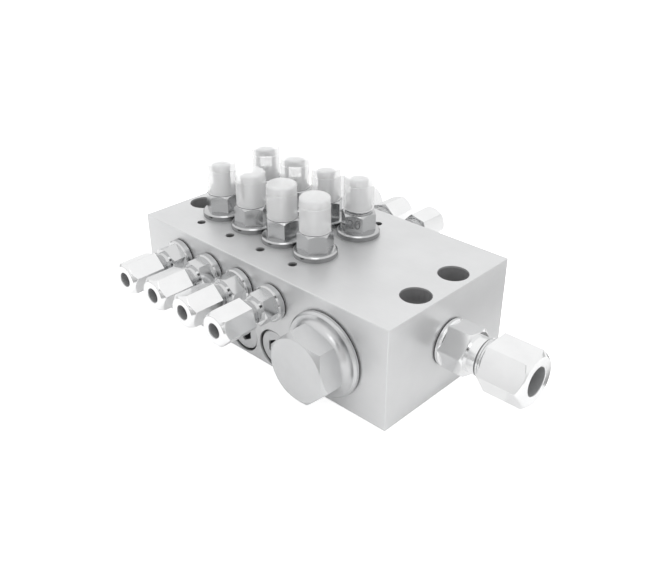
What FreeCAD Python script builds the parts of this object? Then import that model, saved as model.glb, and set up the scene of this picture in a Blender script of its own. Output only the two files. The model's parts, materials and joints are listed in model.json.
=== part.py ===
import FreeCAD, Part
import os
from collections import namedtuple
from math import cos, radians, sin, sqrt, tan

# Single-line lubrication distributor: a drilled block with eight metering cartridges on top,
# four tube outlets on the front, four on the back and the tube inlet on the right-hand end.
# Millimetres. The origin is the centre of the block's underside, X runs along the block,
# the front face looks along -Y and +Z is up.

# Block
block_length = 150.0
block_depth = 80.0
block_height = 47.5
block_edge = 0.25

# Columns and rows of cartridges
column_count = 4
column_pitch = 20.25
first_column_inset = 26.0
row_y = 14.0

# Fixing holes for four screws from above
fixing_inset = 9.0
fixing_spacing_y = 25.0
fixing_hole_r = 4.5
fixing_counterbore_r = 6.7
fixing_counterbore_depth = 9.0

# Blind holes beside the cartridges
blind_hole_r = 2.0
blind_hole_depth = 6.0
blind_hole_y = 27.8
drill_point_angle = 59.0

# Channels inside the block
gallery_height = 24.0
gallery_r = 4.0
gallery_overrun = 6.0
feed_drill_r = 2.0
outlet_drill_r = 1.8
relief_drill_r = 2.5

# Clearances
thread_gap = 0.05
seat_gap = 0.1
slide_gap = 0.08
seal_gap = 0.3

# How far a cutting shape reaches past the surface that it cuts
past = 1.0

# Metering cartridge, measured from the block's top face
cartridge_thread_r = 6.5
cartridge_thread_length = 8.0
cartridge_waist_r = 5.2
cartridge_waist_length = 9.0
cartridge_land_length = 4.0
cartridge_nose_r = 4.4
cartridge_nose_length = 4.5
cartridge_nose_edge = 0.5
cartridge_bore_floor = 1.5
flange_r = 9.8
flange_wall_height = 2.1
flange_bevel = 0.6
flange_top_height = 3.1
cartridge_hex = 14.0
cartridge_hex_height = 8.2
cartridge_hex_chamfer = 0.55
cartridge_hex_face_r = 6.95
collar_height = 0.3
long_collar_height = 1.9
collar_r = 6.2
cap_seat_r = 5.4
cap_seat_height = 2.4
seal_groove_depth = 0.9
seal_groove_inner_r = 7.2
seal_groove_outer_r = 8.7

# Indicator stem on the cartridge
stem_r = 4.75
stem_flat = 4.1
stem_height = 13.1
stem_edge = 0.7
window_width = 6.0
window_bar = 2.0

# Metering piston, its spring and the cup valve below it
chamber_r = 3.3
chamber_roof = 3.0
piston_length = 8.0
piston_travel = 6.0
piston_headroom = 2.2
piston_rod_r = 1.5
piston_tip_edge = 0.4
spring_wire = 0.7
spring_turns = 5.0
spring_coil_gap = 0.25
cup_height = 2.4
cup_wall = 0.8
cup_floor = 0.9
cup_gap = 0.4

# Clear cap over the stem
cap_r = 6.9
cap_height = 15.6
cap_top = 1.8
cap_bore_relief = 0.25
cap_skirt_height = 3.0
cap_round = 1.3
cap_ring_drop = 4.2
cap_ring_step = 0.12

# Outlet tube fittings, measured from the block's side faces
outlet_height = 34.5
outlet_port_r = 6.55
outlet_port_length = 8.6
outlet_seal_overhang = 0.1
outlet_seal_thickness = 1.4
outlet_collar_r = 8.3
outlet_collar_length = 2.2
outlet_union_hex = 13.0
outlet_union_hex_length = 6.6
outlet_neck_r = 5.35
outlet_neck_length = 2.2
outlet_thread_r = 6.0
outlet_thread_length = 10.4
outlet_nut_hex = 14.0
outlet_nut_start = 16.0
outlet_nut_length = 16.0
outlet_nut_chamfer = 1.8
outlet_nut_face_r = 6.3
outlet_tube_r = 3.1
outlet_passage_r = 2.0
outlet_ring_wall = 1.45

# Inlet tube fitting, measured from the block's right-hand end
inlet_port_r = 8.3
inlet_port_length = 12.0
inlet_seal_overhang = 0.3
inlet_seal_thickness = 1.3
inlet_collar_r = 10.6
inlet_collar_length = 1.2
inlet_union_hex = 19.0
inlet_union_hex_length = 10.9
inlet_neck_r = 8.2
inlet_neck_length = 4.4
inlet_thread_r = 9.0
inlet_thread_length = 13.6
inlet_nut_hex = 22.0
inlet_nut_start = 22.0
inlet_nut_length = 19.5
inlet_nut_chamfer = 2.2
inlet_nut_face_r = 10.4
inlet_tube_r = 6.1
inlet_passage_r = 5.0
inlet_ring_wall = 1.75

# Shapes that all tube fittings share; the cone and the cutting ring go by the ring's wall
fitting_thread_pitch = 1.5
thread_edge = 0.4 * fitting_thread_pitch
socket_share = 0.9
cone_walls = 2.5
cone_angle = 12.0
ring_front_walls = 1.2
union_hex_inset = 0.1
union_hex_slope = 0.7
nut_edge = 0.5

# Plugs sunk in pockets low on the front and back faces
flush_plug_height = 10.3
flush_plug_pocket_r = 9.3
flush_plug_recess = 0.7
flush_plug_head_r = 8.6
flush_plug_head_length = 3.9
flush_plug_edge = 0.5
flush_plug_thread_r = 5.0
flush_plug_thread_length = 8.0
flush_plug_socket = 8.0
flush_plug_socket_turn = 30.0
flush_plug_socket_depth = 4.0

# Large screw plugs that close the cross bore on the front and back
last_column_to_cross_bore = 30.75
cross_bore_height = 22.5
cross_bore_r = 13.0
main_plug_thread_r = 16.6
main_plug_thread_length = 13.0
main_plug_core_r = 11.0
main_seal_inset = 0.3
main_seal_thickness = 0.7
main_plug_flange_r = 19.2
main_plug_flange_length = 1.4
main_plug_flange_bevel = 0.9
main_plug_shelf_r = 17.4
main_plug_neck_r = 14.3
main_plug_neck_length = 3.6
main_plug_edge = 1.0
main_plug_hex = 28.6
main_plug_hex_length = 10.5
main_plug_hex_chamfer = 2.0
main_plug_face_r = 13.9

# Turn of each hexagon about its own axis, in degrees
cartridge_turns = {"f1": -25, "f2": -5, "f3": 22, "f4": -7, "b1": 12, "b2": 38, "b3": 4, "b4": 25}
window_turns = {"f1": 45, "f2": 62, "f3": 12, "f4": 45, "b1": -45, "b2": -45, "b3": 45, "b4": 40}
union_turns = {"f1": 25, "f2": 57, "f3": 15, "f4": 52, "b1": 8, "b2": 33, "b3": 21, "b4": 47}
nut_turns = {"f1": 18, "f2": 11, "f3": 17, "f4": 46, "b1": 29, "b2": 5, "b3": 40, "b4": 13}
inlet_union_turn = 22
inlet_nut_turn = 32
main_plug_turn = 44.5

long_collar_at = "b4"

V = FreeCAD.Vector
Fitting = namedtuple("Fitting", "port_r port_length seal_overhang seal_thickness collar_r collar_length "
                     "union_hex union_hex_length neck_r neck_length thread_r thread_length nut_hex "
                     "nut_start nut_length nut_chamfer nut_face_r tube_r passage_r ring_wall")

outlet = Fitting(outlet_port_r, outlet_port_length, outlet_seal_overhang, outlet_seal_thickness,
                 outlet_collar_r, outlet_collar_length, outlet_union_hex, outlet_union_hex_length,
                 outlet_neck_r, outlet_neck_length, outlet_thread_r, outlet_thread_length,
                 outlet_nut_hex, outlet_nut_start, outlet_nut_length, outlet_nut_chamfer,
                 outlet_nut_face_r, outlet_tube_r, outlet_passage_r, outlet_ring_wall)
inlet = Fitting(inlet_port_r, inlet_port_length, inlet_seal_overhang, inlet_seal_thickness,
                inlet_collar_r, inlet_collar_length, inlet_union_hex, inlet_union_hex_length,
                inlet_neck_r, inlet_neck_length, inlet_thread_r, inlet_thread_length,
                inlet_nut_hex, inlet_nut_start, inlet_nut_length, inlet_nut_chamfer,
                inlet_nut_face_r, inlet_tube_r, inlet_passage_r, inlet_ring_wall)

# Places along the block
first_column_x = first_column_inset - block_length / 2
fixing_spacing_x = block_length - 2 * fixing_inset
last_column_x = first_column_x + (column_count - 1) * column_pitch
cross_bore_x = last_column_x + last_column_to_cross_bore

# Heights along the cartridge that several pieces share
hex_top = flange_top_height + cartridge_hex_height
land_bottom = -(cartridge_thread_length + cartridge_waist_length + cartridge_land_length)
nose_bottom = land_bottom - cartridge_nose_length
seat_top = hex_top + collar_height + cap_seat_height
stem_top = hex_top + collar_height + stem_height
window_top = stem_top - window_bar
window_height = piston_travel + piston_headroom
window_bottom = window_top - window_height
chamber_bottom = nose_bottom + cartridge_bore_floor
piston_bottom = chamber_bottom + cup_height + cup_gap
piston_top = piston_bottom + piston_length
chamber_top = hex_top - chamber_roof


def turned(outline):
    """Solid of revolution about Z from a closed (radius, height) outline."""
    points = [V(r, 0, z) for r, z in outline]
    face = Part.Face(Part.makePolygon(points + points[:1]))
    return face.revolve(V(0, 0, 0), V(0, 0, 1), 360)


def rod(radius, bottom, top):
    """Plain cylinder on Z between two heights."""
    return Part.makeCylinder(radius, top - bottom, V(0, 0, bottom))


def ring(inner_r, outer_r, bottom, top):
    """Plain ring on Z between two heights."""
    return rod(outer_r, bottom, top).cut(rod(inner_r, bottom - past, top + past))


def hexagon(across, bottom, top, turn):
    """Sharp hexagonal prism on Z, turned by an angle in degrees."""
    corner = across / sqrt(3)
    angles = [radians(turn + 60 * k) for k in range(7)]
    points = [V(corner * cos(a), corner * sin(a), bottom) for a in angles]
    return Part.Face(Part.makePolygon(points)).extrude(V(0, 0, top - bottom))


def spanner_hex(across, bottom, top, turn, face_r, chamfer, foot=0.0):
    """Hexagon whose corners are turned off in a cone at the top, and at the foot if one is given."""
    corner = across / sqrt(3)
    rim = corner + past
    drop = chamfer * (rim - face_r) / (corner - face_r)
    base = [(0, bottom), (rim, bottom)]
    if foot:
        base = [(0, bottom), (corner - 2 * foot, bottom), (rim, bottom + foot + past / 2)]
    blank = turned(base + [(rim, top - drop), (face_r, top), (0, top)])
    return hexagon(across, bottom, top, turn).common(blank)


def drill(radius, depth):
    """Drilled hole going down from height 0, with the cone that the drill's point leaves."""
    point = radius / tan(radians(drill_point_angle))
    return turned([(0, past), (radius, past), (radius, -depth), (0, -depth - point)])


def placed(shape, at, direction):
    """Copy of a shape drawn on Z, set on a point and pointed along a direction."""
    copy = shape.copy()
    place = FreeCAD.Placement(at, FreeCAD.Rotation(V(0, 0, 1), direction))
    copy.Placement = place.multiply(shape.Placement)
    return copy


def stations():
    """Name, column place and side of each cartridge and of the outlet that it feeds."""
    places = []
    for side, sign in (("f", -1), ("b", 1)):
        for column in range(column_count):
            places.append((side + str(column + 1), first_column_x + column * column_pitch, sign))
    return places


def outlet_place(x, sign):
    """Point on the block's face and outward direction of an outlet."""
    return V(x, sign * block_depth / 2, outlet_height), V(0, sign, 0)


def station_cuts(x, sign):
    """Holes of one cartridge and its outlet: bore, channels, outlet port, low plug and blind hole."""
    up = V(0, 0, 1)
    top = V(x, sign * row_y, block_height)
    face, out = outlet_place(x, sign)
    low = V(x, face.y, flush_plug_height)
    inward = row_y - block_depth / 2
    head_floor = -flush_plug_recess - flush_plug_head_length
    plug_floor = head_floor - flush_plug_thread_length - seat_gap
    nose_room_r = cartridge_nose_r + seat_gap + seal_gap
    return [
        placed(rod(cartridge_thread_r + thread_gap, land_bottom - thread_gap, past), top, up),
        placed(rod(nose_room_r, nose_bottom - past, 0), top, up),
        placed(drill(relief_drill_r, block_height - flush_plug_height), top, up),
        placed(drill(blind_hole_r, blind_hole_depth), V(x, sign * blind_hole_y, block_height), up),
        placed(rod(outlet_port_r + thread_gap, -outlet_port_length - seat_gap, past), face, out),
        placed(rod(outlet_drill_r, inward, 0), face, out),
        placed(rod(flush_plug_pocket_r, head_floor, past), low, out),
        placed(rod(flush_plug_thread_r + thread_gap, plug_floor, 0), low, out),
        placed(rod(relief_drill_r, inward, 0), low, out),
        placed(rod(feed_drill_r, 0, row_y), V(x, 0, gallery_height), out)]


def block_cuts():
    """Everything that is drilled or bored into the block."""
    up = V(0, 0, 1)
    along = V(1, 0, 0)
    cuts = []
    for name, x, sign in stations():
        cuts += station_cuts(x, sign)
    gallery_start = first_column_x - gallery_overrun
    gallery = rod(gallery_r, 0, cross_bore_x - gallery_start)
    cuts.append(placed(gallery, V(gallery_start, 0, gallery_height), along))
    end = V(block_length / 2, 0, gallery_height)
    cuts.append(placed(rod(inlet_port_r + thread_gap, -inlet_port_length - seat_gap, past), end, along))
    cuts.append(placed(rod(inlet_passage_r, cross_bore_x - block_length / 2, 0), end, along))
    middle = V(cross_bore_x, 0, cross_bore_height)
    reach = block_depth / 2 + past
    cuts.append(placed(rod(cross_bore_r, -reach, reach), middle, V(0, 1, 0)))
    for sign in (-1, 1):
        face = V(cross_bore_x, sign * block_depth / 2, cross_bore_height)
        mouth = rod(main_plug_thread_r + thread_gap, -main_plug_thread_length - seat_gap, past)
        cuts.append(placed(mouth, face, V(0, sign, 0)))
        for end_sign in (-1, 1):
            at = V(end_sign * fixing_spacing_x / 2, sign * fixing_spacing_y / 2, block_height)
            cuts.append(placed(rod(fixing_hole_r, -block_height - past, past), at, up))
            cuts.append(placed(rod(fixing_counterbore_r, -fixing_counterbore_depth, past), at, up))
    return cuts


def make_block():
    """The drilled block with its broken edges."""
    corner = V(-block_length / 2, -block_depth / 2, 0)
    blank = Part.makeBox(block_length, block_depth, block_height, corner)
    blank = blank.makeChamfer(block_edge, blank.Edges)
    return blank.cut(block_cuts())


def cartridge_collar(name):
    """Height of the collar between the hexagon and the cap."""
    return long_collar_height if name == long_collar_at else collar_height


def make_cartridge(name):
    """Metering cartridge body: shank, flange, hexagon, cap seat and slotted indicator stem."""
    lift = cartridge_collar(name) - collar_height
    shank = turned([
        (0, nose_bottom), (cartridge_nose_r - cartridge_nose_edge, nose_bottom),
        (cartridge_nose_r, nose_bottom + cartridge_nose_edge), (cartridge_nose_r, land_bottom),
        (cartridge_thread_r, land_bottom), (cartridge_thread_r, land_bottom + cartridge_land_length),
        (cartridge_waist_r, land_bottom + cartridge_land_length),
        (cartridge_waist_r, -cartridge_thread_length), (cartridge_thread_r, -cartridge_thread_length),
        (cartridge_thread_r, 0), (flange_r, 0), (flange_r, flange_wall_height),
        (flange_r - flange_bevel, flange_wall_height + flange_bevel),
        (cartridge_hex / 2, flange_top_height), (0, flange_top_height)])
    turn = cartridge_turns[name]
    hexa = spanner_hex(cartridge_hex, flange_wall_height, hex_top, turn,
                       cartridge_hex_face_r, cartridge_hex_chamfer)
    neck = turned([
        (0, hex_top - past), (collar_r, hex_top - past), (collar_r, hex_top + collar_height + lift),
        (cap_seat_r, hex_top + collar_height + lift), (cap_seat_r, seat_top + lift), (0, seat_top + lift)])
    stem = turned([
        (0, hex_top), (stem_r, hex_top), (stem_r, stem_top + lift - stem_edge),
        (stem_r - stem_edge, stem_top + lift), (0, stem_top + lift)])
    body = shank.fuse([hexa, neck, stem]).removeSplitter()
    body = body.cut(stem_cuts(name, lift))
    body = body.cut([rod(chamber_r, chamber_bottom, chamber_top),
                     rod(piston_rod_r + slide_gap, chamber_bottom, window_bottom + lift + past),
                     rod(cartridge_nose_r - 2 * cup_wall, nose_bottom - past, chamber_bottom + past),
                     ring(seal_groove_inner_r, seal_groove_outer_r, -past, seal_groove_depth)])
    return body


def stem_cuts(name, lift):
    """Two flats and the window through the indicator stem."""
    reach = stem_r + past
    low = seat_top + lift
    high = stem_top + lift + past
    flats = [Part.makeBox(reach, 2 * reach, high - low, V(stem_flat, -reach, low)),
             Part.makeBox(reach, 2 * reach, high - low, V(-stem_flat - reach, -reach, low))]
    window = Part.makeBox(2 * reach, window_width, window_height,
                          V(-reach, -window_width / 2, window_bottom + lift))
    cuts = flats + [window]
    for cut in cuts:
        cut.rotate(V(0, 0, 0), V(0, 0, 1), window_turns[name])
    return cuts


def make_piston(name):
    """Metering piston with the indicator rod that rises into the stem's window."""
    lift = cartridge_collar(name) - collar_height
    tip = window_bottom + lift
    head_r = chamber_r - slide_gap
    return turned([
        (0, piston_bottom), (head_r, piston_bottom), (head_r, piston_top), (piston_rod_r, piston_top),
        (piston_rod_r, tip - piston_tip_edge), (piston_rod_r - piston_tip_edge, tip), (0, tip)])


def make_spring():
    """Return spring between the piston's head and the roof of its chamber."""
    coil_r = (chamber_r + piston_rod_r) / 2
    low = piston_top + spring_wire / 2 + spring_coil_gap
    high = chamber_top - spring_wire / 2 - spring_coil_gap
    helix = Part.makeHelix((high - low) / spring_turns, high - low, coil_r)
    half = spring_wire / 2
    corners = [V(coil_r - half, 0, -half), V(coil_r + half, 0, -half),
               V(coil_r + half, 0, half), V(coil_r - half, 0, half)]
    section = Part.makePolygon(corners + corners[:1])
    coil = Part.Wire(helix.Edges).makePipeShell([section], True, True)
    coil.translate(V(0, 0, low))
    return coil


def make_cup():
    """Cup valve at the foot of the metering chamber."""
    outer_r = chamber_r - slide_gap
    bottom = chamber_bottom
    return turned([
        (0, bottom), (outer_r, bottom), (outer_r, bottom + cup_height),
        (outer_r - cup_wall, bottom + cup_height), (outer_r - cup_wall, bottom + cup_floor),
        (0, bottom + cup_floor)])


def make_cap(name):
    """Clear cap: a plain bore over the stem, a snug skirt on its seat and a rounded crown."""
    lift = cartridge_collar(name) - collar_height
    foot = hex_top + collar_height + lift
    crown = foot + cap_height
    bore_r = cap_seat_r + slide_gap
    relief_r = bore_r + cap_bore_relief
    skirt_top = foot + cap_skirt_height
    roof = crown - cap_top
    bend = cap_round * (1 - sqrt(0.5))
    shoulder_r = cap_r - cap_ring_step
    flank = [V(bore_r, 0, foot), V(cap_r, 0, foot), V(cap_r, 0, crown - cap_ring_drop),
             V(shoulder_r, 0, crown - cap_ring_drop + cap_ring_step), V(shoulder_r, 0, crown - cap_round)]
    arc = Part.Arc(flank[-1], V(shoulder_r - bend, 0, crown - bend), V(shoulder_r - cap_round, 0, crown))
    bore = [V(shoulder_r - cap_round, 0, crown), V(0, 0, crown), V(0, 0, roof),
            V(relief_r - cap_round, 0, roof), V(relief_r, 0, roof - cap_round),
            V(relief_r, 0, skirt_top + cap_bore_relief), V(bore_r, 0, skirt_top), V(bore_r, 0, foot)]
    edges = Part.makePolygon(flank).Edges + [arc.toShape()] + Part.makePolygon(bore).Edges
    return Part.Face(Part.Wire(edges)).revolve(V(0, 0, 0), V(0, 0, 1), 360)


def make_union(size, turn):
    """Screwed-in union: port thread, collar, hexagon, neck, nut thread and the tube's socket."""
    seat = size.seal_thickness
    collar_end = seat + size.collar_length
    hex_end = collar_end + size.union_hex_length
    thread_start = hex_end + size.neck_length
    end = thread_start + size.thread_length
    flat_r = size.union_hex / 2
    corner = size.union_hex / sqrt(3)
    outline = [
        (0, -size.port_length), (size.port_r - thread_edge, -size.port_length),
        (size.port_r, thread_edge - size.port_length), (size.port_r, seat), (size.collar_r, seat),
        (size.collar_r, collar_end - thread_edge), (size.collar_r - thread_edge, collar_end),
        (size.neck_r, collar_end), (size.neck_r, thread_start), (size.thread_r, thread_start + thread_edge),
        (size.thread_r, end - thread_edge), (size.thread_r - thread_edge, end), (0, end)]
    hexa = spanner_hex(size.union_hex, collar_end - thread_edge, hex_end, turn,
                       flat_r - union_hex_inset, (corner - flat_r) * union_hex_slope)
    body = turned(outline).fuse(hexa).removeSplitter()
    return body.cut(tube_socket(size, end))


def tube_socket(size, end):
    """Stepped bore of a union: passage, socket for the tube and the cone for the cutting ring."""
    inner = -size.port_length - past
    floor = end - socket_share * size.thread_length
    cone_start = end - cone_walls * size.ring_wall
    mouth_r = cone_r(size, end)
    return turned([
        (0, inner), (size.passage_r, inner), (size.passage_r, floor), (size.tube_r, floor),
        (size.tube_r, cone_start), (mouth_r, end), (mouth_r, end + past), (0, end + past)])


def union_end(size):
    """Height of a union's outer end above the face that it is screwed into."""
    return (size.seal_thickness + size.collar_length + size.union_hex_length
            + size.neck_length + size.thread_length)


def cone_r(size, height):
    """Radius of the cone in a union's mouth at a height."""
    rise = height - union_end(size) + cone_walls * size.ring_wall
    return size.tube_r + rise * tan(radians(cone_angle))


def make_cutting_ring(size):
    """Cutting ring between the union's cone and the nut's shoulder."""
    end = union_end(size)
    front = end - ring_front_walls * size.ring_wall
    collar_r = size.tube_r + size.ring_wall
    shoulder = end + seal_gap + size.ring_wall
    tail = shoulder + size.ring_wall
    return turned([
        (size.tube_r, front), (cone_r(size, front) - seat_gap, front), (cone_r(size, end) - seat_gap, end),
        (collar_r, end + seal_gap), (collar_r, shoulder), (size.tube_r + seat_gap * 2, tail),
        (size.tube_r, tail)])


def make_nut(size, turn):
    """Union nut: spanner hexagon, thread bore, inner shoulder and the hole for the tube."""
    start = size.nut_start
    end = start + size.nut_length
    thread_r = size.thread_r + slide_gap
    shoulder = union_end(size) + seal_gap + size.ring_wall + seat_gap
    thread_end = shoulder - size.ring_wall
    collar_r = size.tube_r + size.ring_wall + seat_gap
    hole_r = size.tube_r + seat_gap
    mouth_r = hole_r + nut_edge / 2
    blank = spanner_hex(size.nut_hex, start, end, turn, size.nut_face_r, size.nut_chamfer)
    bore = turned([
        (0, start - past), (thread_r, start - past), (thread_r, thread_end), (collar_r, thread_end),
        (collar_r, shoulder), (hole_r, shoulder + collar_r - hole_r), (hole_r, end - nut_edge / 2),
        (mouth_r, end), (mouth_r, end + past), (0, end + past)])
    return blank.cut(bore)


def make_fitting_seal(size):
    """Sealing ring between a union's collar and the block."""
    return ring(size.port_r + thread_gap, size.collar_r + size.seal_overhang, 0, size.seal_thickness)


def make_flush_plug():
    """Plug with a round head sunk a little in its pocket, and a hexagon socket."""
    face = -flush_plug_recess
    foot = face - flush_plug_head_length
    tip = foot - flush_plug_thread_length
    body = turned([
        (0, tip), (flush_plug_thread_r - flush_plug_edge, tip), (flush_plug_thread_r, tip + flush_plug_edge),
        (flush_plug_thread_r, foot), (flush_plug_head_r, foot), (flush_plug_head_r, face - flush_plug_edge),
        (flush_plug_head_r - flush_plug_edge, face), (0, face)])
    floor = face - flush_plug_socket_depth
    return body.cut(hexagon(flush_plug_socket, floor, past, flush_plug_socket_turn))


def make_main_plug():
    """Large screw plug: thread, bevelled flange, waisted neck and spanner hexagon."""
    seat = main_seal_thickness
    bevel_start = seat + main_plug_flange_length
    shelf = bevel_start + main_plug_flange_bevel
    neck_top = shelf + main_plug_neck_length
    face = neck_top + main_plug_hex_length
    tip = -main_plug_thread_length
    inside = neck_top + main_plug_edge
    lower = [V(0, 0, tip), V(main_plug_thread_r - main_plug_edge, 0, tip),
             V(main_plug_thread_r, 0, tip + main_plug_edge), V(main_plug_thread_r, 0, seat),
             V(main_plug_flange_r, 0, seat), V(main_plug_flange_r, 0, bevel_start),
             V(main_plug_flange_r - main_plug_flange_bevel, 0, shelf), V(main_plug_shelf_r, 0, shelf)]
    drop = (main_plug_shelf_r - main_plug_neck_r) * (1 - sqrt(0.5))
    rise = main_plug_neck_length * (1 - sqrt(0.5))
    neck = Part.Arc(lower[-1], V(main_plug_neck_r + drop, 0, shelf + rise), V(main_plug_neck_r, 0, neck_top))
    upper = [V(main_plug_neck_r, 0, neck_top), V(main_plug_neck_r, 0, inside), V(0, 0, inside), V(0, 0, tip)]
    edges = Part.makePolygon(lower).Edges + [neck.toShape()] + Part.makePolygon(upper).Edges
    core = Part.Face(Part.Wire(edges)).revolve(V(0, 0, 0), V(0, 0, 1), 360)
    hexa = spanner_hex(main_plug_hex, neck_top, face, main_plug_turn, main_plug_face_r,
                       main_plug_hex_chamfer, main_plug_edge)
    body = core.fuse(hexa).removeSplitter()
    return body.cut(rod(main_plug_core_r, tip - past, seat))


def save(name, shape):
    """Write one node, or a group of like solids, as a STEP file."""
    shape.exportStep("parts/" + name + ".step")


def grouped(shapes):
    """Like solids that share one node."""
    return Part.makeCompound(shapes)


def build_cartridges():
    """Cartridge bodies, pistons, caps, springs, cups and sealing rings on the block's top."""
    cups = []
    seals = []
    seal = ring(seal_groove_inner_r + seat_gap, seal_groove_outer_r - seat_gap, 0, seal_groove_depth)
    for name, x, sign in stations():
        at = V(x, sign * row_y, block_height)
        up = V(0, 0, 1)
        save("cartridge_body_" + name, placed(make_cartridge(name), at, up))
        save("metering_piston_" + name, placed(make_piston(name), at, up))
        save("clear_cap_" + name, placed(make_cap(name), at, up))
        save("piston_spring_" + name, placed(make_spring(), at, up))
        cups.append(placed(make_cup(), at, up))
        seals.append(placed(seal, at, up))
    save("cup_valves", grouped(cups))
    save("cartridge_seals", grouped(seals))


def build_fittings():
    """Unions, cutting rings, nuts and sealing rings of the eight outlets and the inlet."""
    seals = []
    plugs = []
    unions = {-1: [], 1: []}
    for name, x, sign in stations():
        face, out = outlet_place(x, sign)
        unions[sign].append(placed(make_union(outlet, union_turns[name]), face, out))
        save("cutting_ring_" + name, placed(make_cutting_ring(outlet), face, out))
        save("outlet_nut_" + name, placed(make_nut(outlet, nut_turns[name]), face, out))
        seals.append(placed(make_fitting_seal(outlet), face, out))
        plugs.append(placed(make_flush_plug(), V(x, face.y, flush_plug_height), out))
    end = V(block_length / 2, 0, gallery_height)
    out = V(1, 0, 0)
    save("inlet_union", placed(make_union(inlet, inlet_union_turn), end, out))
    save("inlet_cutting_ring", placed(make_cutting_ring(inlet), end, out))
    save("inlet_nut", placed(make_nut(inlet, inlet_nut_turn), end, out))
    seals.append(placed(make_fitting_seal(inlet), end, out))
    save("front_outlet_unions", grouped(unions[-1]))
    save("back_outlet_unions", grouped(unions[1]))
    save("fitting_seals", grouped(seals))
    save("flush_plugs", grouped(plugs))


def build_main_plugs():
    """The two large plugs of the cross bore and their sealing rings."""
    plugs = []
    seals = []
    for sign in (-1, 1):
        face = V(cross_bore_x, sign * block_depth / 2, cross_bore_height)
        out = V(0, sign, 0)
        plugs.append(placed(make_main_plug(), face, out))
        seal_r = main_plug_flange_r - main_seal_inset
        seal = ring(main_plug_thread_r + thread_gap, seal_r, 0, main_seal_thickness)
        seals.append(placed(seal, face, out))
    save("main_plugs", grouped(plugs))
    save("main_plug_seals", grouped(seals))


os.makedirs("parts", exist_ok=True)
save("block", make_block())
build_cartridges()
build_fittings()
build_main_plugs()
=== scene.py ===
"""Studio scene of a single-line lubrication distributor.

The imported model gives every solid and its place. This script builds finer pieces for the
solids that show, dresses every node, and sets the floor, the lamps and the camera.
Piece sizes are in millimetres, and pieces are drawn on the Z axis before they are placed.
"""

from __future__ import annotations

import json
import logging
from collections.abc import Callable
from dataclasses import dataclass, field
from enum import Enum
from math import cos, pi, radians, sin, sqrt

import bmesh
import bpy
from mathutils import Matrix, Quaternion, Vector

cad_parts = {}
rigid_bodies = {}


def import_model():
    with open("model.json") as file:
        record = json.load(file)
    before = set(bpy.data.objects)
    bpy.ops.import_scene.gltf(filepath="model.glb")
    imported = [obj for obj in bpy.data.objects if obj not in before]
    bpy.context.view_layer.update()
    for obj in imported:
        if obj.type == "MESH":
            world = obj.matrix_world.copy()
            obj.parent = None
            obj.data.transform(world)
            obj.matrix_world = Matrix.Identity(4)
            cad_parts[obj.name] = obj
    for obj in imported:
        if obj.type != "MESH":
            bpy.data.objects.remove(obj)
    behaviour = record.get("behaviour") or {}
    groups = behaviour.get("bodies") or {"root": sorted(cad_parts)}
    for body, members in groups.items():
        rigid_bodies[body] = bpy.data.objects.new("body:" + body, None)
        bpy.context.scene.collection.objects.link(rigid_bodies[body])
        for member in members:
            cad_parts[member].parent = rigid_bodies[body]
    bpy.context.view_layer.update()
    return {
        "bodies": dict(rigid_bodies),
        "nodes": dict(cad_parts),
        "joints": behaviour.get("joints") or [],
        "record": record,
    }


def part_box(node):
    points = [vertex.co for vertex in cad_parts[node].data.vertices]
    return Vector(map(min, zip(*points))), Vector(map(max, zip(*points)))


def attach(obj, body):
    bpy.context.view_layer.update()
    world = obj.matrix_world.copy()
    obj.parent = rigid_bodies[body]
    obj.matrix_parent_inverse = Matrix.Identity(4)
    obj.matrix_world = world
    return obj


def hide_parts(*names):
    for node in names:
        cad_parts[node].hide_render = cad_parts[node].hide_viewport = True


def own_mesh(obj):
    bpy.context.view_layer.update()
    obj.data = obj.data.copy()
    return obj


log = logging.getLogger("distributor")

Mesh = bmesh.types.BMesh
Edge = bmesh.types.BMEdge
Node = bpy.types.Node
Object = bpy.types.Object
Socket = bpy.types.NodeSocket
Material = bpy.types.Material
Outline = list[tuple[float, float]]
Colour = tuple[float, float, float]
Point = tuple[float, float, float]
Input = Socket | float | tuple | list

BODY = "distributor_body"
METRES = 0.001
UP = Vector((0, 0, 1))
ROUND_STEPS = 72
FINE_STEPS = 96
HELIX_STEPS = 40
HEXAGON_SIDES = 6
BLANK_MARGIN = 1.0
MERGE_DISTANCE = 1e-4
CUT_TOLERANCE = 1e-5
FACE_TOLERANCE = 0.05
OVERLAP = 1.0
PLAY = 0.05
BEVEL_ANGLE = 30.0
SHARP_ANGLE = 38.0


class Side(Enum):
    """The long faces of the block, by the sign of their outward Y."""

    FRONT = -1
    BACK = 1


class Grain(Enum):
    """How a finish's grain is drawn out along X, Y and Z."""

    EVEN = (1.0, 1.0, 1.0)
    ALONG_BLOCK = (0.06, 1.0, 1.0)


@dataclass(frozen=True)
class BlockSize:
    """Outer size of the block, whose underside's centre is the origin."""

    length: float = 150.0
    depth: float = 80.0
    height: float = 47.5


BLOCK = BlockSize()


@dataclass(frozen=True)
class Station:
    """One metering place: its cartridge on top and its outlet on a long face."""

    name: str
    side: Side


STATIONS = [Station(letter + str(column), side)
            for letter, side in (("f", Side.FRONT), ("b", Side.BACK))
            for column in range(1, 5)]


# Finishes


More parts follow.
